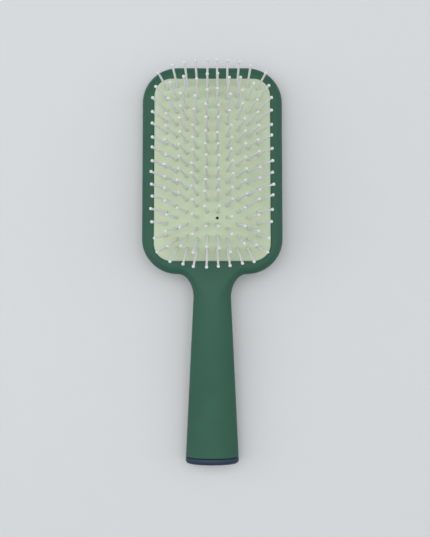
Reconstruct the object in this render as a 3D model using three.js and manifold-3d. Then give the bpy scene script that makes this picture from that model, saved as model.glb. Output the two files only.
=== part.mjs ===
// A paddle pin brush lying on its back: two moulded half shells, a domed rubber cushion clamped between
// them, ball-tipped pins carried through the cushion, and a cap that closes the end of the hollow handle.
// Units are millimetres. +X is across the paddle, +Y runs from the handle to the far end of the head, and
// +Z is up, the way the pins point. The surface that the brush lies on is z = 0, and the origin is under
// the middle of the brush.
import * as THREE from "three";
import { mergeVertices } from "three/addons/utils/BufferGeometryUtils.js";
import Module from "manifold-3d";

// Head and handle, seen from above
const headWidth = 88;
const headLength = 130.6;
const headCornerRadius = 22.3;
const neckWidth = 23.5;
const neckFilletWidth = 9.7;
const neckFilletLength = 14.5;
const handleLength = 115;
const handleEndWidth = 33.4;

// Head and handle, seen from the side
const headThickness = 13;
const headTilt = THREE.MathUtils.degToRad(4.5); // the far end of the head dips towards the table
const headEdgeRadius = 5;
const neckThickness = 14.4;
const handleEndThickness = 20;
const bendLead = 3; // the bend starts this far inside the head
const roundingRun = 1.6; // over this many fillet lengths the head's round edge widens to the whole handle

// Shells
const wall = 2;
const seamGap = 0.3;
const fitGap = 0.3;
const studLead = 7.7; // from the head's near end to the first stud
const studTail = 21.3; // from the cap's spigot to the last stud
const studRadius = 1.7;
const studOverlap = 3.5;
const socketWall = 1.4;

// Cushion
const rimWidth = 7.7; // of the head's face, round the cushion's opening
const cornerTightening = 11.3; // how much smaller the opening's corner radius is than the head's
const cushionThickness = 1.6;
const cushionShoulder = 1.2; // height of the cushion's edge above the head's face
const cushionCrown = 8.5; // rise of the dome above that edge
const crownPowerX = 2.5;
const crownPowerY = 4;
const flangeThickness = 1.5;
const flangeReach = 1.7;
const clampWall = 1.5;
const ventRadius = 0.8;

// Pins
const columnPairs = 5;
const pinsPerColumn = 15;
const sideMargin = 8.4; // from the opening's edge to the outermost column
const farMargin = 6; // from the opening's far edge to the first row
const nearMargin = 7.8;
const farCornerDrop = 1.7; // how much further in the outermost columns stop
const nearCornerDrop = 1;
const cornerDropPower = 6;
const sideSplay = 0.43; // how far the outermost columns lean out, as a slope
const sideSplayPower = 1.1;
const sideSplayLoss = 0.55; // the share of it that the far row loses
const farStraightening = 0.9; // the share of it that inner pins lose towards the far row
const forwardLean = 0.09; // every pin leans this much towards the far end
const levelStart = 25.8; // but less at the sides, from here to the near row
const farSplay = 0.61; // and the far row this much more
const farSplayPower = 3;
const nearSplay = 0.87; // while the near row leans back
const nearSplayReach = 25.8; // the rows this close to the near row lean back with it
const nearSplayPower = 1.3;
const farCornerLoss = 0.8; // the share of the far rows' lean that the outermost columns lose
const nearCornerLoss = 0.55;
const pinLength = 22;
const pinRadius = 0.72;
const pinTipRadius = 1;
const holeGap = 0.3;
const runnerWidth = 1.8;
const runnerThickness = 0.9;
const runnerGap = 0.5; // between a runner and the underside of the cushion
const ventColumn = 1; // the vent is in the first column right of the middle, after this many pins
const ventAfterPin = 11;

// End cap
const capThickness = 4.2;
const capEdgeRadius = 2.1;
const capWall = 1.6;
const spigotLength = 13;

// Facets
const quarterSteps = 4; // from the seam to the top of a section, so the cap's outline matches the handle's
const cornerSteps = 6;
const pinSides = 5;
const roundSides = 10;
const barTurn = 0.35; // of a facet, so that no corner of a bar meets an edge of its neighbour exactly

const headHalfLength = headLength / 2;
const bodyEnd = -headHalfLength - handleLength;
const tiltSlope = Math.tan(headTilt);
const headMiddleHeight = headThickness / 2 + tiltSlope * (headHalfLength - headEdgeRadius);
const faceHeight = headMiddleHeight + headThickness / 2;
const openingWidth = headWidth - 2 * rimWidth;
const openingLength = headLength - 2 * rimWidth;
const openingCornerRadius = headCornerRadius - cornerTightening;
const outerColumn = openingWidth / 2 - sideMargin;
const columnPitch = outerColumn / (columnPairs - 0.5);
const rowTop = openingLength / 2 - farMargin;
const rowBottom = nearMargin - openingLength / 2;
const firstStud = -headHalfLength - studLead;
const lastStud = bodyEnd + spigotLength + studTail;
const studYs = [firstStud, (firstStud + lastStud) / 2, lastStud];

const smooth = (t) => THREE.MathUtils.smoothstep(t, 0, 1);
const lerp = THREE.MathUtils.lerp;

const wasm = await Module();
wasm.setup();

// Solids ------------------------------------------------------------------------------------------

function toSolid(geometry, matrix) {
  const bare = new THREE.BufferGeometry().setAttribute("position", geometry.getAttribute("position"));
  const flat = geometry.index ? bare.setIndex(geometry.index).toNonIndexed() : bare;
  if (matrix) flat.applyMatrix4(matrix);
  const merged = mergeVertices(flat, 1e-3);
  const corners = merged.index.array;
  const triVerts = [];
  for (let i = 0; i < corners.length; i += 3) {
    const [a, b, c] = [corners[i], corners[i + 1], corners[i + 2]];
    if (a !== b && b !== c && c !== a) triVerts.push(a, b, c);
  }
  const vertProperties = merged.attributes.position.array;
  const mesh = new wasm.Mesh({ numProp: 3, vertProperties, triVerts: new Uint32Array(triVerts) });
  return new wasm.Manifold(mesh);
}

function toGeometry(solid) {
  const { vertProperties, triVerts } = solid.getMesh();
  const geometry = new THREE.BufferGeometry().setAttribute(
    "position",
    new THREE.BufferAttribute(new Float32Array(vertProperties), 3),
  );
  geometry.setIndex(new THREE.BufferAttribute(new Uint32Array(triVerts), 1));
  geometry.computeVertexNormals();
  return geometry;
}

const joined = (solids) => solids.reduce((sum, solid) => sum.add(solid));

// A closed surface through rings of equally many points. The rings run counterclockwise as seen from where
// they lead. An end is closed by a fan unless its ring is a line folded back on itself, which closes it
// already.
function loft(rings, { closeEnds = true } = {}) {
  const around = rings[0].length;
  const points = rings.flat();
  const index = [];
  for (let k = 0; k + 1 < rings.length; k++) {
    for (let i = 0; i < around; i++) {
      const next = (i + 1) % around;
      const [a, b] = [k * around + i, k * around + next];
      const [c, d] = [a + around, b + around];
      index.push(a, b, d, a, d, c);
    }
  }
  if (closeEnds) {
    const middle = (ring) => ring.reduce((sum, p) => sum.add(p), new THREE.Vector3()).divideScalar(around);
    const last = (rings.length - 1) * around;
    const first = points.push(middle(rings[0]), middle(rings.at(-1))) - 2;
    for (let i = 0; i < around; i++) {
      const next = (i + 1) % around;
      index.push(first, next, i, first + 1, last + i, last + next);
    }
  }
  return new THREE.BufferGeometry().setFromPoints(points).setIndex(index);
}

// A straight round bar between two points, with its radius given at stations along it, as shares of its
// length.
function bar(from, to, stations, sides) {
  const axis = new THREE.Vector3().subVectors(to, from);
  const up = new THREE.Vector3(0, 0, 1);
  const turn = new THREE.Quaternion().setFromUnitVectors(up, axis.clone().normalize());
  const rings = stations.map(([share, radius]) =>
    Array.from({ length: sides }, (_, i) => {
      const angle = (2 * Math.PI * (i + barTurn)) / sides;
      return new THREE.Vector3(radius * Math.cos(angle), radius * Math.sin(angle), 0)
        .applyQuaternion(turn)
        .add(from)
        .addScaledVector(axis, share);
    }),
  );
  return toSolid(loft(rings));
}

// Body shape --------------------------------------------------------------------------------------

const bendStart = -headHalfLength + bendLead;
const neckY = -headHalfLength - neckFilletLength;

// Height of the brush's middle surface above the table: straight through the head, then one smooth bend to
// the handle's end.
function middleHeight(y) {
  const straight = (at) => headMiddleHeight - tiltSlope * at;
  if (y >= bendStart) return straight(y);
  const run = bendStart - bodyEnd;
  const u = Math.min((bendStart - y) / run, 1);
  const start = (2 * u - 3) * u * u + 1;
  const ends = start * straight(bendStart) + ((1 - start) * handleEndThickness) / 2;
  return ends + u * (1 - u) ** 2 * tiltSlope * run;
}

function halfThickness(y) {
  if (y >= neckY) {
    return lerp(headThickness, neckThickness, smooth((bendStart - y) / (bendStart - neckY))) / 2;
  }
  return lerp(neckThickness, handleEndThickness, Math.min((neckY - y) / (neckY - bodyEnd), 1)) / 2;
}

function handleHalfWidth(y) {
  return lerp(neckWidth, handleEndWidth, Math.max((neckY - y) / (neckY - bodyEnd), 0)) / 2;
}

// How far in from the outline the surface is still curving: a narrow round edge on the head, and the whole
// of the handle.
function edgeReach(y) {
  const widening = smooth((-headHalfLength - y) / (roundingRun * neckFilletLength));
  return lerp(headEdgeRadius, handleHalfWidth(y), widening);
}

const arc = (cx, cy, rx, ry, from, to, steps) =>
  Array.from({ length: steps + 1 }, (_, i) => {
    const angle = THREE.MathUtils.degToRad(lerp(from, to, i / steps));
    return new THREE.Vector2(cx + rx * Math.cos(angle), cy + ry * Math.sin(angle));
  });

// The right half of the outline, from the middle of the far edge round to the handle, which runs on past
// its end so that it can be cut off square. Each point has a partner on the middle line that the surface
// spans towards.
function bodyOutline() {
  const [halfWidth, r] = [headWidth / 2, headCornerRadius];
  const side = halfWidth - r;
  const past = bodyEnd - handleEndWidth;
  const filletX = Math.min(neckWidth / 2 + neckFilletWidth, side); // the head's end has room for no more
  const filletWidth = filletX - neckWidth / 2;
  const head = [
    new THREE.Vector2(0, headHalfLength),
    ...arc(side, headHalfLength - r, r, r, 90, 0, cornerSteps),
    new THREE.Vector2(halfWidth, 0),
    ...arc(side, -headHalfLength + r, r, r, 0, -90, cornerSteps),
  ];
  const fillet = arc(filletX, neckY, filletWidth, neckFilletLength, 90, 180, 5);
  const handle = [0.22, 0.44, 0.66, 0.88, 1].map((t) => {
    const y = lerp(neckY, bodyEnd, t);
    return new THREE.Vector2(handleHalfWidth(y), y);
  });
  handle.push(new THREE.Vector2(handleHalfWidth(past), past));
  handle.push(new THREE.Vector2(0, past - handleEndWidth / 2));
  const points = [...head, ...fillet, ...handle];
  const inner = headHalfLength - halfWidth;
  const turnOut = head.length + fillet.length - 1;
  const partners = points.map(({ x, y }, i) => {
    if (i < head.length) return THREE.MathUtils.clamp(y, -inner, inner);
    if (i >= turnOut) return Math.max(y, past);
    const normal = new THREE.Vector2((x - filletX) / filletWidth ** 2, (y - neckY) / neckFilletLength ** 2);
    return Math.min(y + (x * normal.y) / Math.abs(normal.x), -inner);
  });
  return { points, partners };
}

const outline = bodyOutline();

function distanceToOutline(x, y) {
  const point = new THREE.Vector3(Math.abs(x), y, 0);
  const nearest = new THREE.Vector3();
  let best = Infinity;
  for (let i = 0; i + 1 < outline.points.length; i++) {
    const [a, b] = [outline.points[i], outline.points[i + 1]];
    new THREE.Line3(new THREE.Vector3(a.x, a.y, 0), new THREE.Vector3(b.x, b.y, 0))
      .closestPointToPoint(point, true, nearest);
    best = Math.min(best, nearest.distanceTo(point));
  }
  return best;
}

// The whole outer body, or with an inset the space inside its walls.
function bodySolid(inset) {
  const mostReach = 0.92; // of the way to a point's partner, so that no two stretches cross
  const { points, partners } = outline;
  const last = points.length - 1;
  const edge = points.map((p, i) => {
    const along = new THREE.Vector2().subVectors(points[Math.min(i + 1, last)], points[Math.max(i - 1, 0)]);
    if (i === 0 || i === last) along.set(i ? -1 : 1, 0);
    along.normalize();
    return new THREE.Vector2(p.x + along.y * inset, p.y - along.x * inset);
  });
  const shares = Array.from({ length: quarterSteps + 1 }, (_, k) => {
    return 1 - Math.cos((Math.PI / 2) * (k / quarterSteps));
  });
  // Share 0 is the outline, 1 is where the surface levels off, and more is the middle line.
  const loop = (share, side) => {
    const half = edge.map((p, i) => {
      const partner = new THREE.Vector2(0, partners[i]);
      const depth = p.distanceTo(partner);
      const reach = Math.min(edgeReach(p.y) - inset, mostReach * depth);
      const at = share > 1 ? partner : p.clone().lerp(partner, (share * reach) / depth);
      const inward = Math.max(distanceToOutline(at.x, at.y) - inset, 0) / (edgeReach(at.y) - inset);
      const rise = share === 0 ? 0 : Math.sqrt(1 - (1 - Math.min(inward, 1)) ** 2);
      const height = middleHeight(at.y) + side * (halfThickness(at.y) - inset) * rise;
      return new THREE.Vector3(at.x, at.y, height);
    });
    const mirrored = half.slice(1, -1).reverse().map((p) => new THREE.Vector3(-p.x, p.y, p.z));
    return [...half, ...mirrored].reverse();
  };
  const inwards = [...shares.slice(1), Infinity];
  const rings = [
    ...[...inwards].reverse().map((share) => loop(share, -1)),
    loop(0, 1),
    ...inwards.map((share) => loop(share, 1)),
  ];
  return toSolid(loft(rings, { closeEnds: false }));
}

// Everything above the middle surface (side 1) or below it (side -1), short of the handle's end.
function halfSpace(side) {
  const steps = 24;
  const far = headHalfLength + wall;
  const seam = Array.from({ length: steps + 1 }, (_, i) => {
    const y = lerp(bodyEnd, far, i / steps);
    return new THREE.Vector2(y, middleHeight(y) + (side * seamGap) / 2);
  });
  const away = side * 2 * headThickness + headMiddleHeight;
  const shape = new THREE.Shape([...seam, new THREE.Vector2(far, away), new THREE.Vector2(bodyEnd, away)]);
  const slab = new THREE.ExtrudeGeometry(shape, { depth: 2 * headWidth, bevelEnabled: false });
  const yzToWorld = new THREE.Matrix4().makeBasis(
    new THREE.Vector3(0, 1, 0),
    new THREE.Vector3(0, 0, 1),
    new THREE.Vector3(1, 0, 0),
  );
  return toSolid(slab, yzToWorld.premultiply(new THREE.Matrix4().makeTranslation(-headWidth, 0, 0)));
}

// Head face frame ---------------------------------------------------------------------------------

// Pieces on the head's face are worked out in the face's own frame: z = 0 is the head's flat face, its
// origin is the middle of the opening, and the frame leans with the head.
const faceFrame = new THREE.Matrix4()
  .makeTranslation(0, 0, faceHeight)
  .multiply(new THREE.Matrix4().makeRotationX(-headTilt));

// A rounded rectangle the size of the cushion opening, grown by some margin, as a ring at one height. With
// a share below 1 its points move in towards the middle line.
function openingRing(margin, height, share = 1) {
  const [halfWidth, halfLength] = [openingWidth / 2 + margin, openingLength / 2 + margin];
  const r = openingCornerRadius + margin;
  const [x, y] = [halfWidth - r, halfLength - r];
  const right = [
    new THREE.Vector2(x / 2, -halfLength),
    ...arc(x, -y, r, r, -90, 0, 3),
    ...[-0.7, -0.35, 0, 0.35, 0.7].map((t) => new THREE.Vector2(halfWidth, t * y)),
    ...arc(x, y, r, r, 0, 90, 3),
    new THREE.Vector2(x / 2, halfLength),
  ];
  const bottom = [new THREE.Vector2(0, -halfLength), ...right, new THREE.Vector2(0, halfLength)];
  const left = bottom.slice(1, -1).reverse().map((p) => new THREE.Vector2(-p.x, p.y));
  const inner = openingLength / 2 - openingWidth / 2;
  return [...bottom, ...left].map((p) => {
    const at = p.clone().lerp(new THREE.Vector2(0, THREE.MathUtils.clamp(p.y, -inner, inner)), 1 - share);
    return new THREE.Vector3(at.x, at.y, typeof height === "function" ? height(at.x, at.y) : height);
  });
}

const domeHalfWidth = openingWidth / 2 - fitGap;
const domeHalfLength = openingLength / 2 - fitGap;

function cushionHeight(x, y) {
  const u = Math.min(Math.abs(x) / domeHalfWidth, 1) ** crownPowerX;
  const v = Math.min(Math.abs(y) / domeHalfLength, 1) ** crownPowerY;
  return cushionShoulder + cushionCrown * (1 - u) * (1 - v);
}

const flangeTop = -wall - fitGap;
const flangeBottom = flangeTop - flangeThickness;

// Pins --------------------------------------------------------------------------------------------

// Where a pin leaves the cushion, in the face's frame. Columns are counted outwards from the middle, from
// 1. Every second column is staggered, but its first and last pins stay in line with its neighbours'.
function pinFoot(side, column, number) {
  const x = side * (column - 0.5) * columnPitch;
  const last = pinsPerColumn - 1;
  const share = (Math.abs(x) / outerColumn) ** cornerDropPower;
  const top = rowTop - farCornerDrop * share;
  const pitch = (top - rowBottom - nearCornerDrop * share) / last;
  const stagger = column % 2 ? 0 : 0.5 * (1 - ((2 * number) / last - 1) ** 4);
  return new THREE.Vector2(x, top - pitch * (number + stagger));
}

// The pins fan out: sideways with their column, and towards both ends of the head with their row.
function pinAxis({ x, y }) {
  const side = x / outerColumn;
  const straight = 1 - farStraightening * (1 - Math.abs(side)) * Math.max(y / rowTop, 0);
  const out = sideSplay * (1 - sideSplayLoss * (y / rowTop) ** 4) * Math.abs(side) ** sideSplayPower;
  const down = Math.min(Math.max((levelStart - y) / (levelStart - rowBottom), 0), 1);
  const forward = forwardLean * (1 - side ** 2 * 4 * down * (1 - down));
  const far = farSplay * (1 - farCornerLoss * side ** 2) * Math.max(y / rowTop, 0) ** farSplayPower;
  const back = Math.max(1 - (y - rowBottom) / nearSplayReach, 0) ** nearSplayPower;
  const along = forward + far - nearSplay * (1 - nearCornerLoss * side ** 2) * back;
  const foot = new THREE.Vector3(x, y, cushionHeight(x, y));
  return { foot, lean: new THREE.Vector3(Math.sign(x) * out * straight, along, 1).normalize() };
}

function pinSolid({ foot, lean }) {
  const under = cushionThickness / lean.z + runnerGap + runnerThickness / 2;
  const from = foot.clone().addScaledVector(lean, -under);
  const to = foot.clone().addScaledVector(lean, pinLength);
  const full = under + pinLength;
  const stations = [
    [0, pinRadius],
    [1 - (2 * pinTipRadius) / full, 0.9 * pinRadius],
    [1 - (1.1 * pinTipRadius) / full, pinTipRadius],
    [1, 0.45 * pinTipRadius],
  ];
  return bar(from, to, stations, pinSides);
}

// The strip behind the cushion that a row of pins is moulded on, square to its pins.
function runnerSolid(axes) {
  const feet = axes.map(({ foot, lean }) =>
    foot.clone().addScaledVector(lean, -cushionThickness / lean.z - runnerGap - runnerThickness / 2),
  );
  const beyond = (end, next) => new THREE.Vector3().subVectors(end, next).setLength(pinTipRadius).add(end);
  const path = [beyond(feet[0], feet[1]), ...feet, beyond(feet.at(-1), feet.at(-2))];
  const leans = [axes[0], ...axes, axes.at(-1)].map(({ lean }) => lean);
  const rings = path.map((p, i) => {
    const along = new THREE.Vector3()
      .subVectors(path[Math.min(i + 1, path.length - 1)], path[Math.max(i - 1, 0)])
      .normalize();
    const across = new THREE.Vector3().crossVectors(leans[i], along).normalize();
    const up = new THREE.Vector3().crossVectors(along, across);
    return [[1, -1], [1, 1], [-1, 1], [-1, -1]].map(([s, t]) =>
      p.clone()
        .addScaledVector(across, (s * runnerWidth) / 2)
        .addScaledVector(up, (t * runnerThickness) / 2),
    );
  });
  return toSolid(loft(rings));
}

// The strips of one ring of pins: ring 1 is the outermost, and each ring has two long sides and two ends.
function ringStrips(ring) {
  const column = columnPairs + 1 - ring;
  const first = ring - 1;
  const last = pinsPerColumn - 1 - first;
  const long = (side) =>
    Array.from({ length: last - first + 1 }, (_, i) => pinFoot(side, column, first + i));
  const end = (number) => {
    const half = Array.from({ length: column - 1 }, (_, i) => i + 1);
    const left = [...half].reverse().map((c) => pinFoot(-1, c, number));
    return [...left, ...half.map((c) => pinFoot(1, c, number))];
  };
  const strips = { left: long(-1), right: long(1) };
  if (column > 1) Object.assign(strips, { far: end(first), near: end(last) });
  return strips;
}

// Pieces ------------------------------------------------------------------------------------------

// Height of the floor of a stud's socket, which may be the back shell's wall.
const socketFloor = (y) => middleHeight(y) + Math.max(-studOverlap - fitGap, wall - halfThickness(y));

const openingCut = () =>
  toSolid(loft([openingRing(0, -headThickness / 2), openingRing(0, headThickness)]), faceFrame);

function frontShell() {
  const skin = bodySolid(0).subtract(bodySolid(wall)).intersect(halfSpace(1));
  const studs = studYs.map((y) => {
    const top = middleHeight(y) + halfThickness(y) - wall / 2;
    const foot = new THREE.Vector3(0, y, socketFloor(y) + fitGap);
    return bar(foot, new THREE.Vector3(0, y, top), [[0, studRadius], [1, studRadius]], roundSides);
  });
  return joined([skin.subtract(openingCut()), ...studs]);
}

// The ring that stands on the back shell and presses the cushion's flange up against the front shell.
function clampRing() {
  const [low, high] = [-headThickness + wall / 2, flangeBottom - fitGap];
  const outer = toSolid(loft([openingRing(clampWall, low), openingRing(clampWall, high)]), faceFrame);
  const inner = toSolid(loft([openingRing(0, low - wall), openingRing(0, high + wall)]), faceFrame);
  return outer.subtract(inner);
}

function backShell() {
  const skin = bodySolid(0).subtract(bodySolid(wall)).intersect(halfSpace(-1));
  const outerRadius = studRadius + fitGap + socketWall;
  const sockets = studYs.map((y) => {
    const bottom = middleHeight(y) - halfThickness(y) + wall / 2;
    const top = middleHeight(y) - seamGap;
    const at = (z) => new THREE.Vector3(0, y, z);
    const post = bar(at(bottom), at(top), [[0, outerRadius], [1, outerRadius]], roundSides);
    const bore = studRadius + fitGap;
    return post.subtract(bar(at(socketFloor(y)), at(top + 1), [[0, bore], [1, bore]], roundSides));
  });
  return joined([skin, clampRing(), ...sockets]);
}

function cushion() {
  const under = (x, y) => cushionHeight(x, y) - cushionThickness;
  const steps = [0, 0.3, 0.55, 0.8];
  const rings = [
    ...steps.map((share) => openingRing(-fitGap - cushionThickness, under, share)),
    openingRing(-fitGap - cushionThickness, under),
    openingRing(-fitGap - cushionThickness, flangeBottom),
    openingRing(flangeReach - fitGap, flangeBottom),
    openingRing(flangeReach - fitGap, flangeTop),
    openingRing(-fitGap, flangeTop),
    openingRing(-fitGap, cushionShoulder / 2),
    openingRing(-fitGap - cushionShoulder / 3, cushionHeight),
    ...[...steps].reverse().map((share) => openingRing(-fitGap, cushionHeight, share)),
  ];
  const skin = toSolid(loft(rings, { closeEnds: false }));
  const holes = allFeet().map((at) => {
    const { foot, lean } = pinAxis(at);
    const reach = 3 * cushionThickness;
    const radius = pinRadius + holeGap / Math.cos(Math.PI / pinSides);
    const from = foot.clone().addScaledVector(lean, -reach);
    return bar(from, foot.clone().addScaledVector(lean, reach), [[0, radius], [1, radius]], pinSides);
  });
  const [before, after] = [pinFoot(1, ventColumn, ventAfterPin), pinFoot(1, ventColumn, ventAfterPin + 1)];
  const vent = before.lerp(after, 0.5);
  const ventBar = bar(
    new THREE.Vector3(vent.x, vent.y, 0),
    new THREE.Vector3(vent.x, vent.y, 2 * (cushionShoulder + cushionCrown)),
    [[0, ventRadius], [1, ventRadius]],
    roundSides,
  );
  return skin.subtract(joined([...holes, ventBar]));
}

function allFeet() {
  const rings = Array.from({ length: columnPairs }, (_, i) => ringStrips(i + 1));
  return rings.flatMap((strips) => Object.values(strips).flat());
}

function pinStrip(feet) {
  const axes = feet.map(pinAxis);
  return joined([runnerSolid(axes), ...axes.map(pinSolid)]);
}

// A cup: its spigot goes into the handle, and its rounded rim carries on the handle's outline.
function endCap() {
  const ellipse = (inset, y) =>
    Array.from({ length: 4 * quarterSteps }, (_, i) => {
      const angle = (Math.PI / 2) * (i / quarterSteps);
      const [rx, rz] = [handleHalfWidth(y) - inset, halfThickness(y) - inset];
      return new THREE.Vector3(rx * Math.cos(angle), y, middleHeight(y) + rz * Math.sin(angle));
    });
  const face = bodyEnd - fitGap;
  const end = bodyEnd - capThickness;
  const spigotInset = wall + fitGap;
  const corner = [0, 1, 2, 3].map((k) => {
    const angle = (Math.PI / 2) * (k / 3);
    return ellipse(capEdgeRadius * (1 - Math.cos(angle)), end + capEdgeRadius * (1 - Math.sin(angle)));
  });
  return toSolid(
    loft([
      ellipse(spigotInset + capWall, end + capWall),
      ellipse(spigotInset + capWall, bodyEnd + spigotLength),
      ellipse(spigotInset, bodyEnd + spigotLength),
      ellipse(spigotInset, face),
      ellipse(0, face),
      ...corner,
    ]),
  );
}

// Assembly ----------------------------------------------------------------------------------------

const green = new THREE.MeshStandardMaterial({ color: 0x3f6354, roughness: 0.5, metalness: 0 });
const paleGreen = new THREE.MeshStandardMaterial({ color: 0xb5cba2, roughness: 0.7, metalness: 0 });
const white = new THREE.MeshStandardMaterial({ color: 0xe9e9ec, roughness: 0.35, metalness: 0 });
const navy = new THREE.MeshStandardMaterial({ color: 0x374154, roughness: 0.5, metalness: 0 });

function piece(name, solid, material) {
  const mesh = new THREE.Mesh(toGeometry(solid), material);
  mesh.name = name;
  return mesh;
}

const onFace = new THREE.Group();
onFace.applyMatrix4(faceFrame);
onFace.add(piece("cushion", cushion(), paleGreen));
for (let ring = 1; ring <= columnPairs; ring++) {
  for (const [place, feet] of Object.entries(ringStrips(ring))) {
    onFace.add(piece(`pins_ring${ring}_${place}`, pinStrip(feet), white));
  }
}

const brush = new THREE.Group();
brush.add(piece("front_shell", frontShell(), green));
brush.add(piece("back_shell", backShell(), green));
brush.add(piece("end_cap", endCap(), navy));
brush.add(onFace);

// The origin goes under the middle of the whole brush.
brush.updateMatrixWorld(true);
const extent = new THREE.Box3().setFromObject(brush, true);
brush.position.set(0, -(extent.min.y + extent.max.y) / 2, -extent.min.z);

export default brush;
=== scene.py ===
import math
import random

import bmesh
import bpy
import numpy as np
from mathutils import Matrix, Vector


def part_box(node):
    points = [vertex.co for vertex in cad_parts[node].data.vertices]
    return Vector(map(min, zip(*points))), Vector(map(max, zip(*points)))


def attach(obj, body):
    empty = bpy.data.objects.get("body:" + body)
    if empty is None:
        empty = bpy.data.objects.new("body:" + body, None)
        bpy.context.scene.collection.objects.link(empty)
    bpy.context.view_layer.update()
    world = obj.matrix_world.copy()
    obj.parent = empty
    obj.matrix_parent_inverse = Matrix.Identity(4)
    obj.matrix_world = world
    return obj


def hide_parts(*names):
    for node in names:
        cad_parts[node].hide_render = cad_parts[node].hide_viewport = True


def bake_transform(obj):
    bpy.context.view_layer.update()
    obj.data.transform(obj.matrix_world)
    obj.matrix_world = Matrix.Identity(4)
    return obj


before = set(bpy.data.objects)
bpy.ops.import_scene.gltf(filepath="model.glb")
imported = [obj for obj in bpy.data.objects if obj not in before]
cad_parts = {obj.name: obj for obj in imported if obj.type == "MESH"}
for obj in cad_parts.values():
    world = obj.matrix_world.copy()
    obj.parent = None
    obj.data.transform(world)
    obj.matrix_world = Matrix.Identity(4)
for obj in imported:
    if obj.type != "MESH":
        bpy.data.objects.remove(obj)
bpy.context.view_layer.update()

# ---- Sizes, in millimetres -----------------------------------------------------------------------

HEAD_WIDTH = 88.0
HEAD_LENGTH = 130.6
HEAD_CORNER_RADIUS = 22.3
NECK_WIDTH = 23.5
NECK_FILLET_WIDTH = 9.7
NECK_FILLET_LENGTH = 14.5
HANDLE_LENGTH = 115.0
HANDLE_END_WIDTH = 33.4
HEAD_THICKNESS = 13.0
HEAD_TILT = math.radians(4.5)
HEAD_EDGE_RADIUS = 5.0
NECK_THICKNESS = 14.4
HANDLE_END_THICKNESS = 20.0
BEND_LEAD = 3.0
CAP_THICKNESS = 4.2
CAP_GAP = 0.3

OPENING_WIDTH = 72.6
OPENING_LENGTH = 115.2
OPENING_CORNER_RADIUS = 11.0
CUSHION_GAP = 0.3
VISIBLE_GAP = 0.08  # the gap seen between the cushion and the edge of its opening
HAIR = 0.02  # how far the visible shells and cap stay inside the CAD model's box
RIM_ROUND = 0.5  # rounding of the opening's edge
LIP_RADIUS = 0.45  # rounding on both sides of the joint between handle and cap
LIP_DEPTH = 1.8
SEAM_HALF_GAP = 0.16
SEAM_DEPTH = 1.2
OPENING_WALL_DEPTH = 3.0
WELD = 0.004  # points closer than this become one
CUSHION_SHOULDER = 1.2
CUSHION_CROWN = 8.5
CROWN_POWER_X = 2.5
CROWN_POWER_Y = 4.0
CUSHION_EDGE_RADIUS = 0.8
CUSHION_SKIRT = 2.4

COLUMN_PITCH = 6.2
COLUMN_PAIRS = 5
PINS_PER_COLUMN = 15
ROW_TOP = 51.6
ROW_BOTTOM = -49.8
FAR_CORNER_DROP = 1.7
NEAR_CORNER_DROP = 1.0
CORNER_DROP_POWER = 6
SIDE_SPLAY = 0.43  # leans are slopes: sideways at the outer column, and how it changes
SIDE_SPLAY_POWER = 1.1
SIDE_SPLAY_LOSS = 0.55
FAR_STRAIGHTENING = 0.9
FORWARD_LEAN = 0.09
LEVEL_START = 25.8  # from here to the near row, pins at the sides lean forward less
FAR_SPLAY = 0.61
FAR_SPLAY_POWER = 3
NEAR_SPLAY = 0.87
NEAR_SPLAY_REACH = 25.8
NEAR_SPLAY_POWER = 1.3
FAR_CORNER_LOSS = 0.8
NEAR_CORNER_LOSS = 0.55
PIN_LENGTH = 22.0
PIN_RADIUS = 0.72
PIN_NECK_RADIUS = 0.64
PIN_DEPTH = 2.6
PIN_TIP_RADIUS = 1.0
PIN_SCATTER_X = 0.016
PIN_SCATTER_Y = 0.028
COLLAR_PROFILE = [(-0.35, 1.5), (0.02, 1.32), (0.16, 1.12), (0.2, 0.9), (0.12, 0.74), (-0.2, 0.66)]
COLLAR_LEAN = 0.4  # how far a collar turns from square to the cushion towards its pin
CUSHION_THICKNESS = 1.6
RUNNER_GAP = 0.5
RUNNER_THICKNESS = 0.9
RUNNER_WIDTH = 1.8
VENT_AFTER_PIN = 11
VENT_RADIUS = 0.85
VENT_PROFILE = [(0.25, 0.0), (0.07, 0.08), (0.0, 0.25), (0.0, 1.6)]  # (past the radius, depth)
VENT_CLEARED = 2.2  # faces this close to the vent's centre are taken away
VENT_SEARCH = 6.0  # and the open edge is looked for this close to it

CAP_EDGE_RADIUS = 2.1
CAP_WALL = 2.3
CAP_SPIGOT_WALL = 1.6
CAP_SPIGOT = 12.0

FLOOR_COLOUR = (209, 211, 212)
FLOOR_HALF_SIZE = 2.5
WORLD_COLOUR = (0.93, 0.97, 1.0, 1)
WORLD_STRENGTH = 0.32
TOP_POWER = 13.0
LEFT_POWER = 7.4
RIGHT_POWER = 5.2
NEAR_POWER = 0.6
# the camera looks straight down, at this place in the brush's own frame
CAMERA_X = 1.7
CAMERA_Y = -61.8
CAMERA_HEIGHT = 600.0
CAMERA_LENS = 62.65
CAMERA_SENSOR_HEIGHT = 36.0

HALF_LENGTH = HEAD_LENGTH / 2
HALF_WIDTH = HEAD_WIDTH / 2
BODY_END = -HALF_LENGTH - HANDLE_LENGTH
TILT_SLOPE = math.tan(HEAD_TILT)
HEAD_MIDDLE = HEAD_THICKNESS / 2 + TILT_SLOPE * (HALF_LENGTH - HEAD_EDGE_RADIUS)
FACE_HEIGHT = HEAD_MIDDLE + HEAD_THICKNESS / 2
BEND_START = -HALF_LENGTH + BEND_LEAD
NECK_Y = -HALF_LENGTH - NECK_FILLET_LENGTH
OUTER_COLUMN = (COLUMN_PAIRS - 0.5) * COLUMN_PITCH

cap_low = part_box("end_cap")[0]
SHIFT_Y = cap_low.y * 1000 - (BODY_END - CAP_THICKNESS)
SHIFT_Z = cap_low.z * 1000


# ---- Mesh helpers --------------------------------------------------------------------------------


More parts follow.
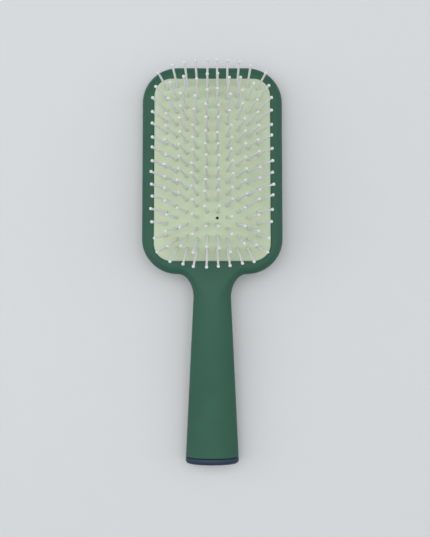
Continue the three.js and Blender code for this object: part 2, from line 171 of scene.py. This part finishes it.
def to_row(points):
    """Millimetres in the brush's own frame to metres in the row frame."""
    return (np.asarray(points, float) + np.array([0, SHIFT_Y, SHIFT_Z])) * 0.001


def from_face(points):
    """The head's leaning face frame to the brush's own frame."""
    p = np.asarray(points, float)
    c, s = math.cos(HEAD_TILT), math.sin(HEAD_TILT)
    return np.stack(
        [p[..., 0], p[..., 1] * c + p[..., 2] * s, FACE_HEIGHT - p[..., 1] * s + p[..., 2] * c],
        axis=-1,
    )


def grid_faces(rows, columns, offset=0, closed=False):
    """Quads of a grid of rows x columns points, its columns joined round if closed."""
    faces = []
    for i in range(rows - 1):
        for j in range(columns if closed else columns - 1):
            k = (j + 1) % columns
            a, b = offset + i * columns + j, offset + i * columns + k
            faces.append((a, b, b + columns, a + columns))
    return faces


def make_object(name, points, faces, material, weld=0.0):
    """A smooth mesh object from points in millimetres in the brush's own frame."""
    mesh = bpy.data.meshes.new(name)
    mesh.from_pydata([tuple(p) for p in to_row(points)], [], faces)
    bm = bmesh.new()
    bm.from_mesh(mesh)
    if weld:
        bmesh.ops.remove_doubles(bm, verts=bm.verts, dist=weld * 0.001)
        bmesh.ops.dissolve_degenerate(bm, edges=bm.edges, dist=1e-7)
    bmesh.ops.recalc_face_normals(bm, faces=bm.faces)
    for face in bm.faces:
        face.smooth = True
    bm.to_mesh(mesh)
    bm.free()
    obj = bpy.data.objects.new(name, mesh)
    bpy.context.scene.collection.objects.link(obj)
    mesh.materials.append(material)
    return obj


def smoothstep(t):
    t = np.clip(t, 0, 1)
    return t * t * (3 - 2 * t)


def arc(cx, cy, rx, ry, start, stop, steps):
    angles = np.radians(np.linspace(start, stop, steps + 1))
    return [(cx + rx * math.cos(a), cy + ry * math.sin(a)) for a in angles]


# ---- Body shape ----------------------------------------------------------------------------------


def middle_height(y):
    """Height of the middle surface: straight through the head, then one smooth bend down the handle."""
    y = np.asarray(y, float)
    straight = HEAD_MIDDLE - TILT_SLOPE * y
    run = BEND_START - BODY_END
    u = np.clip((BEND_START - y) / run, 0, 1)
    start = (2 * u - 3) * u * u + 1
    bent = (
        start * (HEAD_MIDDLE - TILT_SLOPE * BEND_START)
        + u * (1 - u) ** 2 * TILT_SLOPE * run
        + (1 - start) * HANDLE_END_THICKNESS / 2
    )
    return np.where(y >= BEND_START, straight, bent)


def half_thickness(y):
    """Half the body's thickness, which grows from the head through the neck to the handle's end."""
    y = np.asarray(y, float)
    neck = smoothstep((BEND_START - y) / (BEND_START - NECK_Y))
    head = HEAD_THICKNESS + (NECK_THICKNESS - HEAD_THICKNESS) * neck
    along = np.clip((NECK_Y - y) / (NECK_Y - BODY_END), 0, 1)
    handle = NECK_THICKNESS + (HANDLE_END_THICKNESS - NECK_THICKNESS) * along
    return np.where(y >= NECK_Y, head, handle) / 2


def handle_half_width(y):
    along = np.maximum((NECK_Y - np.asarray(y, float)) / (NECK_Y - BODY_END), 0)
    return (NECK_WIDTH + (HANDLE_END_WIDTH - NECK_WIDTH) * along) / 2


def edge_reach(y):
    """How far in from the outline the surface still curves: the head's edge, then the whole handle."""
    t = smoothstep((-HALF_LENGTH - np.asarray(y, float)) / (1.6 * NECK_FILLET_LENGTH))
    return HEAD_EDGE_RADIUS + (handle_half_width(y) - HEAD_EDGE_RADIUS) * t


def half_outline():
    """The outline's right half: points, partners on the middle line, matches on the opening."""
    r = HEAD_CORNER_RADIUS
    side, end = HALF_WIDTH - r, HALF_LENGTH - r
    hole_r = OPENING_CORNER_RADIUS + RIM_ROUND
    hole_side = OPENING_WIDTH / 2 - OPENING_CORNER_RADIUS
    hole_end = OPENING_LENGTH / 2 - OPENING_CORNER_RADIUS
    inner = HALF_LENGTH - HALF_WIDTH
    points, holes = [], []
    for t in np.linspace(0, 1, 13)[:-1]:
        points.append((side * t, HALF_LENGTH))
        holes.append((hole_side * t, hole_end + hole_r))
    points += arc(side, end, r, r, 90, 0, 28)
    holes += arc(hole_side, hole_end, hole_r, hole_r, 90, 0, 28)
    for t in np.linspace(0, 1, 31)[1:-1]:
        points.append((HALF_WIDTH, end * (1 - 2 * t)))
        holes.append((hole_side + hole_r, hole_end * (1 - 2 * t)))
    points += arc(side, -end, r, r, 0, -90, 28)
    holes += arc(hole_side, -hole_end, hole_r, hole_r, 0, -90, 28)
    partners = [(0.0, min(max(y, -inner), inner)) for _, y in points]
    fillet_x = NECK_WIDTH / 2 + NECK_FILLET_WIDTH
    fillet = arc(fillet_x, NECK_Y, NECK_FILLET_WIDTH, NECK_FILLET_LENGTH, 90, 180, 40)[1:]
    near_y = -hole_end - hole_r
    turn = 20  # the fillet point whose partner is the middle of the opening's near edge
    for k, (x, y) in enumerate(fillet, 1):
        nx, ny = (x - fillet_x) / NECK_FILLET_WIDTH**2, (y - NECK_Y) / NECK_FILLET_LENGTH**2
        points.append((x, y))
        partners.append((0.0, min(y + x * ny / abs(nx), -inner)))
        holes.append((hole_side * (1 - k / turn), near_y) if k <= turn else None)
    first_free = len(points) - len(fillet) + turn
    for i in range(first_free, len(points)):
        share = (i - first_free + 1) / (len(points) - first_free)
        holes[i] = (0.0, near_y * math.cos(HEAD_TILT) * (1 - share) + NECK_Y * share)
    for t in np.linspace(0, 1, 71)[1:]:
        y = NECK_Y + (BODY_END + LIP_RADIUS - NECK_Y) * t
        points.append((float(handle_half_width(y)), y))
        partners.append((0.0, y))
        holes.append((0.0, y))
    holes = np.array(holes)
    holes[:first_free, 1] *= math.cos(HEAD_TILT)
    return np.array(points), np.array(partners), holes


def outline_distance(points, outline):
    """Distance of each point from the right half of the outline."""
    p = np.concatenate([np.abs(points[:, None, :1]), points[:, None, 1:]], axis=2)
    a, b = outline[None, :-1], outline[None, 1:]
    ab = b - a
    t = np.clip(((p - a) * ab).sum(2) / (ab * ab).sum(2), 0, 1)
    return np.linalg.norm(a + ab * t[..., None] - p, axis=2).min(1)


def surface_height(xy, outline, side):
    """Height of the outer surface above (side 1) or below (side -1) the middle surface."""
    inward = outline_distance(xy, outline) / edge_reach(xy[:, 1])
    rise = np.sqrt(1 - (1 - np.minimum(inward, 1)) ** 2)
    return middle_height(xy[:, 1]) + side * (half_thickness(xy[:, 1]) - HAIR) * rise


def shell_surface(side):
    """A grid of points on half of one outer shell, from its parting edge inwards."""
    outline, partners, holes = half_outline()
    targets = holes if side > 0 else partners
    depth = np.linalg.norm(outline - partners, axis=1)
    reach = np.minimum(edge_reach(outline[:, 1]), 0.92 * depth)
    normals = np.gradient(outline, axis=0)
    normals[0] = (1, 0)
    normals /= np.linalg.norm(normals, axis=1)[:, None]
    inward = np.stack([normals[:, 1], -normals[:, 0]], axis=1)
    z0 = middle_height(outline[:, 1])
    edge = ((SEAM_DEPTH, SEAM_HALF_GAP), (0.22, SEAM_HALF_GAP), (0.06, 1.5 * SEAM_HALF_GAP))
    columns = [
        np.column_stack([outline + inward * inset, z0 + side * height]) for inset, height in edge
    ]
    for angle in np.linspace(6.5, 90, 15):  # the curve starts just above the seam's edge
        share = 1 - math.cos(math.radians(angle))
        xy = outline + (partners - outline) * (share * reach / depth)[:, None]
        columns.append(np.column_stack([xy, surface_height(xy, outline, side)]))
    last = columns[-1][:, :2]
    for share in np.linspace(0, 1, 9)[1:]:
        xy = last + (targets - last) * share
        columns.append(np.column_stack([xy, surface_height(xy, outline, side)]))
    return np.stack(columns, axis=1)


def end_lip(grid):
    """A small rounded edge where the handle's wall ends at the cap."""
    rim = grid[-1, 3:]
    end = BODY_END + LIP_RADIUS
    centre = np.array([0.0, end, float(middle_height(end))])
    away = rim - centre
    away /= np.linalg.norm(away, axis=1)[:, None]
    rows = [rim]
    for angle in (30, 60, 90):
        a = math.radians(angle)
        inset, drop = LIP_RADIUS * (1 - math.cos(a)), LIP_RADIUS * math.sin(a)
        rows.append(rim - away * inset - np.array([0, drop, 0]))
    rows.append(rows[-1] - away * LIP_DEPTH)
    return np.stack(rows)


def opening_ring(margin, count):
    """The opening's outline in the face frame, grown by margin, from the middle of the far end."""
    half_w, half_l = OPENING_WIDTH / 2 + margin, OPENING_LENGTH / 2 + margin
    r = OPENING_CORNER_RADIUS + margin
    x, y = half_w - r, half_l - r
    quarter = math.pi / 2 * r
    spans = [x, quarter, 2 * y, quarter, x]
    out = []
    for s in np.linspace(0, 1, count // 2 + 1)[:-1] * sum(spans):
        k = 0
        while s > spans[k]:
            s -= spans[k]
            k += 1
        angle = s / r
        out.append(
            [
                (s, half_l),
                (x + r * math.sin(angle), y + r * math.cos(angle)),
                (half_w, y - s),
                (x + r * math.cos(angle), -y - r * math.sin(angle)),
                (x - s, -half_l),
            ][k]
        )
    out.append((0.0, -half_l))
    left = [(-px, py) for px, py in reversed(out[1:-1])]
    return np.array(out + left)


def opening_lip(count):
    """The rounded edge and the wall of the opening, in the face frame."""
    rows = []
    for angle in np.linspace(0, 90, 7):
        a = math.radians(angle)
        ring = opening_ring(RIM_ROUND * (1 - math.sin(a)), count)
        rows.append(np.column_stack([ring, np.full(len(ring), -RIM_ROUND * (1 - math.cos(a)))]))
    ring = opening_ring(0, count)
    rows.append(np.column_stack([ring, np.full(len(ring), -OPENING_WALL_DEPTH)]))
    return rows


def mirrored(grid):
    out = grid.copy()
    out[..., 0] *= -1
    return out


def shell_halves(side):
    """Points and faces of both halves of one outer shell and of its end at the cap."""
    grid = shell_surface(side)
    lip = end_lip(grid)
    points, faces = [], []
    for part in (grid, mirrored(grid), lip, mirrored(lip)):
        faces += grid_faces(part.shape[0], part.shape[1], len(points))
        points += list(part.reshape(-1, 3))
    return points, faces


def build_front_shell(material):
    points, faces = shell_halves(1)
    lip = from_face(np.stack(opening_lip(360)))
    faces += grid_faces(lip.shape[0], lip.shape[1], len(points), closed=True)
    points += list(lip.reshape(-1, 3))
    return make_object("front_body", np.array(points), faces, material, weld=WELD)


def build_back_shell(material):
    points, faces = shell_halves(-1)
    return make_object("back_body", np.array(points), faces, material, weld=WELD)


# ---- Cushion -------------------------------------------------------------------------------------

DOME_HALF_WIDTH = OPENING_WIDTH / 2 - CUSHION_GAP
DOME_HALF_LENGTH = OPENING_LENGTH / 2 - CUSHION_GAP


def cushion_height(x, y):
    """Height of the dome above the head's face."""
    u = np.minimum(np.abs(x) / DOME_HALF_WIDTH, 1) ** CROWN_POWER_X
    v = np.minimum(np.abs(y) / DOME_HALF_LENGTH, 1) ** CROWN_POWER_Y
    return CUSHION_SHOULDER + CUSHION_CROWN * (1 - u) * (1 - v)


def cushion_slope(x, y):
    h = 0.01
    return (
        (cushion_height(x + h, y) - cushion_height(x - h, y)) / (2 * h),
        (cushion_height(x, y + h) - cushion_height(x, y - h)) / (2 * h),
    )


def pin_foot(side, column, number):
    """Where a pin stands: side -1 or 1, columns counted from the middle, pins from the far end."""
    x = side * (column - 0.5) * COLUMN_PITCH
    last = PINS_PER_COLUMN - 1
    share = (abs(x) / OUTER_COLUMN) ** CORNER_DROP_POWER
    top = ROW_TOP - FAR_CORNER_DROP * share
    pitch = (top - ROW_BOTTOM - NEAR_CORNER_DROP * share) / last
    stagger = 0 if column % 2 else 0.5 * (1 - (2 * number / last - 1) ** 4)
    return x, top - pitch * (number + stagger)


def pin_axis(foot):
    """The point where a pin leaves the cushion, and the direction in which it leans."""
    x, y = foot
    side = x / OUTER_COLUMN
    straight = 1 - FAR_STRAIGHTENING * (1 - abs(side)) * max(y / ROW_TOP, 0)
    across = SIDE_SPLAY * (1 - SIDE_SPLAY_LOSS * (y / ROW_TOP) ** 4) * abs(side) ** SIDE_SPLAY_POWER
    down = min(max((LEVEL_START - y) / (LEVEL_START - ROW_BOTTOM), 0), 1)
    forward = FORWARD_LEAN * (1 - side**2 * 4 * down * (1 - down))
    far = FAR_SPLAY * (1 - FAR_CORNER_LOSS * side**2) * max(y / ROW_TOP, 0) ** FAR_SPLAY_POWER
    back = max(1 - (y - ROW_BOTTOM) / NEAR_SPLAY_REACH, 0) ** NEAR_SPLAY_POWER
    along = forward + far - NEAR_SPLAY * (1 - NEAR_CORNER_LOSS * side**2) * back
    lean = np.array([math.copysign(across * straight, x), along, 1.0])
    return np.array([x, y, float(cushion_height(x, y))]), lean / np.linalg.norm(lean)


def ring_strips(ring):
    """The feet of one ring of pins, as its strips: ring 1 is the outermost."""
    column, first = COLUMN_PAIRS + 1 - ring, ring - 1
    last = PINS_PER_COLUMN - 1 - first
    strips = {
        place: [pin_foot(side, column, i) for i in range(first, last + 1)]
        for place, side in (("left", -1), ("right", 1))
    }
    if column > 1:
        for place, number in (("far", first), ("near", last)):
            strips[place] = [pin_foot(-1, c, number) for c in range(column - 1, 0, -1)] + [
                pin_foot(1, c, number) for c in range(1, column)
            ]
    return strips


def basis(axis):
    helper = np.array([1.0, 0, 0]) if abs(axis[0]) < 0.9 else np.array([0, 1.0, 0])
    u = np.cross(axis, helper)
    u /= np.linalg.norm(u)
    return u, np.cross(axis, u)


def lathe(origin, axis, profile, sides):
    """Points and faces of a turned shape about an axis: profile is (distance along, radius)."""
    u, v = basis(axis)
    points = []
    for along, radius in profile:
        for k in range(sides):
            a = 2 * math.pi * k / sides
            points.append(origin + axis * along + (u * math.cos(a) + v * math.sin(a)) * radius)
    return points, grid_faces(len(profile), sides, closed=True)


def build_cushion(material):
    count = 320
    rows = []
    for margin, z in ((1.0, -CUSHION_SKIRT), (-VISIBLE_GAP, -CUSHION_SKIRT), (-VISIBLE_GAP, -0.4)):
        ring = opening_ring(margin, count)
        rows.append(np.column_stack([ring, np.full(len(ring), z)]))
    for angle in np.linspace(0, 90, 6):
        a = math.radians(angle)
        ring = opening_ring(-VISIBLE_GAP - CUSHION_EDGE_RADIUS * (1 - math.cos(a)), count)
        top = cushion_height(ring[:, 0], ring[:, 1])
        low = 0.2
        rows.append(np.column_stack([ring, low + (top - low) * math.sin(a)]))
    start = opening_ring(-VISIBLE_GAP - CUSHION_EDGE_RADIUS, count)
    inner = OPENING_LENGTH / 2 - OPENING_WIDTH / 2
    middle = np.column_stack([np.zeros(len(start)), np.clip(start[:, 1], -inner, inner)])
    for share in np.linspace(0, 1, 61)[1:]:
        xy = start + (middle - start) * share
        rows.append(np.column_stack([xy, cushion_height(xy[:, 0], xy[:, 1])]))
    grid = np.stack(rows)
    faces = grid_faces(grid.shape[0], grid.shape[1], closed=True)
    obj = make_object("cushion_rubber", from_face(grid.reshape(-1, 3)), faces, material, weld=WELD)
    cut_vent(obj)
    add_collars(obj)
    return obj


def vent_centre():
    """The vent lies between two pins of the first column on the right."""
    a, b = pin_foot(1, 1, VENT_AFTER_PIN), pin_foot(1, 1, VENT_AFTER_PIN + 1)
    x, y = (a[0] + b[0]) / 2, (a[1] + b[1]) / 2
    return np.array([x, y, float(cushion_height(x, y))])


def cut_vent(obj):
    """A real hole: the faces round the vent give way to a patch with a round edge and a short wall."""
    centre = Vector(to_row(from_face(vent_centre())))
    up = Vector((0, math.sin(HEAD_TILT), math.cos(HEAD_TILT)))
    bm = bmesh.new()
    bm.from_mesh(obj.data)
    gone = [f for f in bm.faces if (f.calc_center_median() - centre).length < VENT_CLEARED * 0.001]
    bmesh.ops.delete(bm, geom=gone, context="FACES")
    near = VENT_SEARCH * 0.001
    rim = [e for e in bm.edges if e.is_boundary and (e.verts[0].co - centre).length < near]
    u, v = (Vector(w) for w in basis(np.array(up)))
    loops = [rim]
    sides = 24
    for more, depth in VENT_PROFILE:
        ring = []
        for k in range(sides):
            a = 2 * math.pi * k / sides
            out = u * math.cos(a) + v * math.sin(a)
            ring.append(bm.verts.new(centre + (out * (VENT_RADIUS + more) - up * depth) * 0.001))
        loops.append([bm.edges.new((ring[k], ring[(k + 1) % sides])) for k in range(sides)])
    for a, b in zip(loops, loops[1:]):
        bmesh.ops.bridge_loops(bm, edges=a + b)
    bmesh.ops.recalc_face_normals(bm, faces=bm.faces)
    for face in bm.faces:
        face.smooth = True
    bm.to_mesh(obj.data)
    bm.free()


def add_collars(obj):
    """A low rubber collar round each pin, in the cushion's own mesh."""
    bm = bmesh.new()
    bm.from_mesh(obj.data)
    for foot in all_feet():
        at, lean = pin_axis(foot)
        slope_x, slope_y = cushion_slope(*foot)
        normal = np.array([-slope_x, -slope_y, 1.0])
        normal = normal / np.linalg.norm(normal) * (1 - COLLAR_LEAN) + lean * COLLAR_LEAN
        normal /= np.linalg.norm(normal)
        points, faces = lathe(at, normal, COLLAR_PROFILE, 16)
        verts = [bm.verts.new(p) for p in to_row(from_face(np.array(points)))]
        for face in faces:
            bm.faces.new([verts[i] for i in face]).smooth = True
    bm.to_mesh(obj.data)
    bm.free()


def all_feet():
    return [
        foot
        for ring in range(1, COLUMN_PAIRS + 1)
        for strip in ring_strips(ring).values()
        for foot in strip
    ]


# ---- Pins ----------------------------------------------------------------------------------------


def pin_profile():
    """(distance from the foot, radius) of a pin: a slightly tapered shaft, then its ball tip."""
    ball = PIN_LENGTH - 0.03 - PIN_TIP_RADIUS
    profile = [(-PIN_DEPTH, 0.02), (-PIN_DEPTH, PIN_RADIUS)]
    for t in np.linspace(0, 1, 7):
        profile.append((t * (ball - 2.2), PIN_RADIUS + (PIN_NECK_RADIUS - PIN_RADIUS) * t))
    profile += [(ball - 1.5, PIN_NECK_RADIUS + 0.01), (ball - 1.1, PIN_NECK_RADIUS + 0.09)]
    for angle in np.linspace(-52, 88, 11):
        a = math.radians(angle)
        profile.append((ball + PIN_TIP_RADIUS * math.sin(a), PIN_TIP_RADIUS * math.cos(a)))
    return profile


def runner_mesh(feet):
    """The strip that joins a row's pins behind the cushion, square to them."""
    middle, leans = [], []
    for foot in feet:
        at, lean = pin_axis(foot)
        middle.append(at - lean * (CUSHION_THICKNESS / lean[2] + RUNNER_GAP + RUNNER_THICKNESS / 2))
        leans.append(lean)
    middle = np.array(middle)
    first = middle[0] + (middle[0] - middle[1]) / np.linalg.norm(middle[0] - middle[1])
    last = middle[-1] + (middle[-1] - middle[-2]) / np.linalg.norm(middle[-1] - middle[-2])
    path = np.vstack([first, middle, last])
    along = np.gradient(path, axis=0)
    across = np.cross([leans[0]] + leans + [leans[-1]], along)
    across /= np.linalg.norm(across, axis=1)[:, None]
    up = np.cross(along, across)
    up /= np.linalg.norm(up, axis=1)[:, None]
    corners = [(1, -1), (1, 1), (-1, 1), (-1, -1)]
    points = [
        p + a * s * RUNNER_WIDTH / 2 + w * t * RUNNER_THICKNESS / 2
        for p, a, w in zip(path, across, up)
        for s, t in corners
    ]
    faces = grid_faces(len(path), 4, closed=True)
    n = len(points)
    return points, faces + [(0, 1, 2, 3), (n - 4, n - 3, n - 2, n - 1)]


def build_pins(material):
    wobble = random.Random(7)
    profile = pin_profile()
    for ring in range(COLUMN_PAIRS, 0, -1):
        for place, feet in ring_strips(ring).items():
            points, faces = runner_mesh(feet)
            for foot in feet:
                at, lean = pin_axis(foot)
                scatter = [wobble.gauss(0, PIN_SCATTER_X), wobble.gauss(0, PIN_SCATTER_Y), 0]
                axis = lean + np.array(scatter)
                axis /= np.linalg.norm(axis)
                more, quads = lathe(at, axis, profile, 14)
                faces += [tuple(i + len(points) for i in quad) for quad in quads]
                points += more
            name = f"pins_ring{ring}_{place}"
            obj = make_object(f"{name}_nylon", from_face(np.array(points)), faces, material)
            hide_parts(name)
            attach(obj, f"pin_ring_{ring}")


# ---- End cap -------------------------------------------------------------------------------------


def build_cap(material):
    sides = 128

    def ring(inset, y):
        rx = float(handle_half_width(y)) - inset
        rz = float(half_thickness(y)) - inset
        z = float(middle_height(y))
        angles = np.linspace(0, 2 * math.pi, sides, endpoint=False)
        return np.column_stack([rx * np.cos(angles), np.full(sides, y), z + rz * np.sin(angles)])

    face, end = BODY_END - CAP_GAP, BODY_END - CAP_THICKNESS
    inside = BODY_END + CAP_SPIGOT
    rows = [ring(CAP_WALL + CAP_SPIGOT_WALL, inside), ring(CAP_WALL, inside), ring(CAP_WALL, face)]
    for angle in (0, 30, 60, 90):
        a = math.radians(angle)
        inset, drop = LIP_RADIUS * (1 - math.sin(a)), LIP_RADIUS * (1 - math.cos(a))
        rows.append(ring(inset + HAIR, face - drop))
    for angle in np.linspace(0, 90, 10):
        a = math.radians(angle)
        inset, rise = CAP_EDGE_RADIUS * (1 - math.cos(a)), CAP_EDGE_RADIUS * (1 - math.sin(a))
        rows.append(ring(inset + HAIR, end + rise))
    flat = float(half_thickness(BODY_END)) - CAP_EDGE_RADIUS - HAIR
    for share in np.linspace(0.15, 1, 8):
        rows.append(ring(CAP_EDGE_RADIUS + share * flat, end))
    grid = np.stack(rows)
    faces = grid_faces(grid.shape[0], sides, closed=True)
    n = grid.shape[0] * sides
    faces.append(tuple(range(n - sides, n)))
    return make_object("end_cap_navy", grid.reshape(-1, 3), faces, material)


# ---- Materials -----------------------------------------------------------------------------------


def srgb(r, g, b):
    """A screen colour of 0 to 255 as the linear colour that shaders take."""
    def linear(c):
        c /= 255
        return c / 12.92 if c <= 0.04045 else ((c + 0.055) / 1.055) ** 2.4

    return linear(r), linear(g), linear(b), 1.0


def moulded(
    name, colour, roughness, grain_mm, grain_depth_mm, mottle=0.04, rough_spread=0.06, **shader
):
    """Moulded plastic or rubber: fine surface grain, faint colour mottling and uneven gloss."""
    mat = bpy.data.materials.new(name)
    mat.use_nodes = True
    nodes, links = mat.node_tree.nodes, mat.node_tree.links
    bsdf = nodes["Principled BSDF"]
    for key, value in shader.items():
        bsdf.inputs[key.replace("_", " ")].default_value = value
    place = nodes.new("ShaderNodeTexCoord")

    def noise(size_mm, detail):
        node = nodes.new("ShaderNodeTexNoise")
        node.inputs["Scale"].default_value = 1000 / size_mm
        node.inputs["Detail"].default_value = detail
        links.new(place.outputs["Object"], node.inputs["Vector"])
        return node

    patches = noise(14.0, 3)
    ramp = nodes.new("ShaderNodeValToRGB")
    ramp.color_ramp.elements[0].position = 0.3
    ramp.color_ramp.elements[1].position = 0.7
    for element, gain in zip(ramp.color_ramp.elements, (1 - mottle, 1 + mottle)):
        element.color = [min(c * gain, 1) for c in colour[:3]] + [1]
    links.new(patches.outputs["Fac"], ramp.inputs["Fac"])
    links.new(ramp.outputs["Color"], bsdf.inputs["Base Color"])

    gloss = noise(3.0, 4)
    spread = nodes.new("ShaderNodeMapRange")
    spread.inputs["To Min"].default_value = roughness - rough_spread
    spread.inputs["To Max"].default_value = roughness + rough_spread
    links.new(gloss.outputs["Fac"], spread.inputs["Value"])
    links.new(spread.outputs["Result"], bsdf.inputs["Roughness"])

    grain = noise(grain_mm, 2)
    bump = nodes.new("ShaderNodeBump")
    bump.inputs["Strength"].default_value = 1.0
    bump.inputs["Distance"].default_value = grain_depth_mm * 0.001
    links.new(grain.outputs["Fac"], bump.inputs["Height"])
    links.new(bump.outputs["Normal"], bsdf.inputs["Normal"])
    return mat


# ---- Stage ---------------------------------------------------------------------------------------


def build_stage():
    mesh = bpy.data.meshes.new("floor")
    line = (-FLOOR_HALF_SIZE, FLOOR_HALF_SIZE)
    mesh.from_pydata([(x, y, 0.0) for y in line for x in line], [], grid_faces(2, 2))
    floor = bpy.data.objects.new("floor", mesh)
    bpy.context.scene.collection.objects.link(floor)
    mesh.materials.append(
        moulded("paper", srgb(*FLOOR_COLOUR), 0.85, 0.5, 0.004, mottle=0.004, rough_spread=0.03)
    )


def area_light(name, place, size, power):
    """A soft rectangular lamp that points at the middle of the brush."""
    data = bpy.data.lights.new(name, "AREA")
    data.shape = "RECTANGLE"
    data.size, data.size_y = size
    data.energy = power
    lamp = bpy.data.objects.new(name, data)
    lamp.location = place
    lamp.rotation_euler = (-Vector(place)).to_track_quat("-Z", "Y").to_euler()
    bpy.context.scene.collection.objects.link(lamp)


def build_lights():
    world = bpy.data.worlds.new("studio")
    world.use_nodes = True
    back = world.node_tree.nodes["Background"]
    back.inputs["Color"].default_value = WORLD_COLOUR
    back.inputs["Strength"].default_value = WORLD_STRENGTH
    bpy.context.scene.world = world
    area_light("overhead", (0, 0.2, 1.7), (1.3, 1.3), TOP_POWER)
    area_light("left", (-1.0, 0.1, 0.9), (1.1, 1.6), LEFT_POWER)
    area_light("right", (1.0, 0.1, 0.9), (1.1, 1.6), RIGHT_POWER)
    area_light("near", (0, -1.0, 0.9), (0.8, 0.5), NEAR_POWER)


def build_camera():
    data = bpy.data.cameras.new("camera")
    data.lens = CAMERA_LENS
    data.sensor_fit = "VERTICAL"
    data.sensor_height = CAMERA_SENSOR_HEIGHT
    data.clip_end = 20
    camera = bpy.data.objects.new("camera", data)
    camera.location = (CAMERA_X * 0.001, (SHIFT_Y + CAMERA_Y) * 0.001, CAMERA_HEIGHT * 0.001)
    camera.rotation_euler = (0, 0, 0)
    bpy.context.scene.collection.objects.link(camera)
    bpy.context.scene.camera = camera


# ---- Scene ---------------------------------------------------------------------------------------

bpy.context.scene.view_settings.view_transform = "Standard"
build_camera()
build_stage()
build_lights()

green = moulded("soft_touch_green", srgb(49, 91, 74), 0.52, 0.22, 0.006, Specular_IOR_Level=0.2)
rubber = moulded("pale_green_rubber", srgb(190, 205, 174), 0.62, 0.3, 0.008)
nylon = moulded(
    "white_nylon",
    srgb(207, 207, 210),
    0.6,
    0.4,
    0.002,
    mottle=0.01,
    Subsurface_Weight=1.0,
    Subsurface_Scale=0.003,
    Subsurface_Radius=(1, 1, 1),
    Specular_IOR_Level=0.2,
)
navy = moulded("navy_plastic", srgb(38, 54, 75), 0.45, 0.25, 0.004, Specular_IOR_Level=0.3)

root = "handle_and_head"
front = build_front_shell(green)
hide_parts("front_shell")
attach(front, root)

back = build_back_shell(green)
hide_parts("back_shell")
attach(back, root)

cap = build_cap(navy)
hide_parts("end_cap")
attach(cap, root)

build_pins(nylon)

cushion = build_cushion(rubber)
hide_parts("cushion")
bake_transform(cushion)
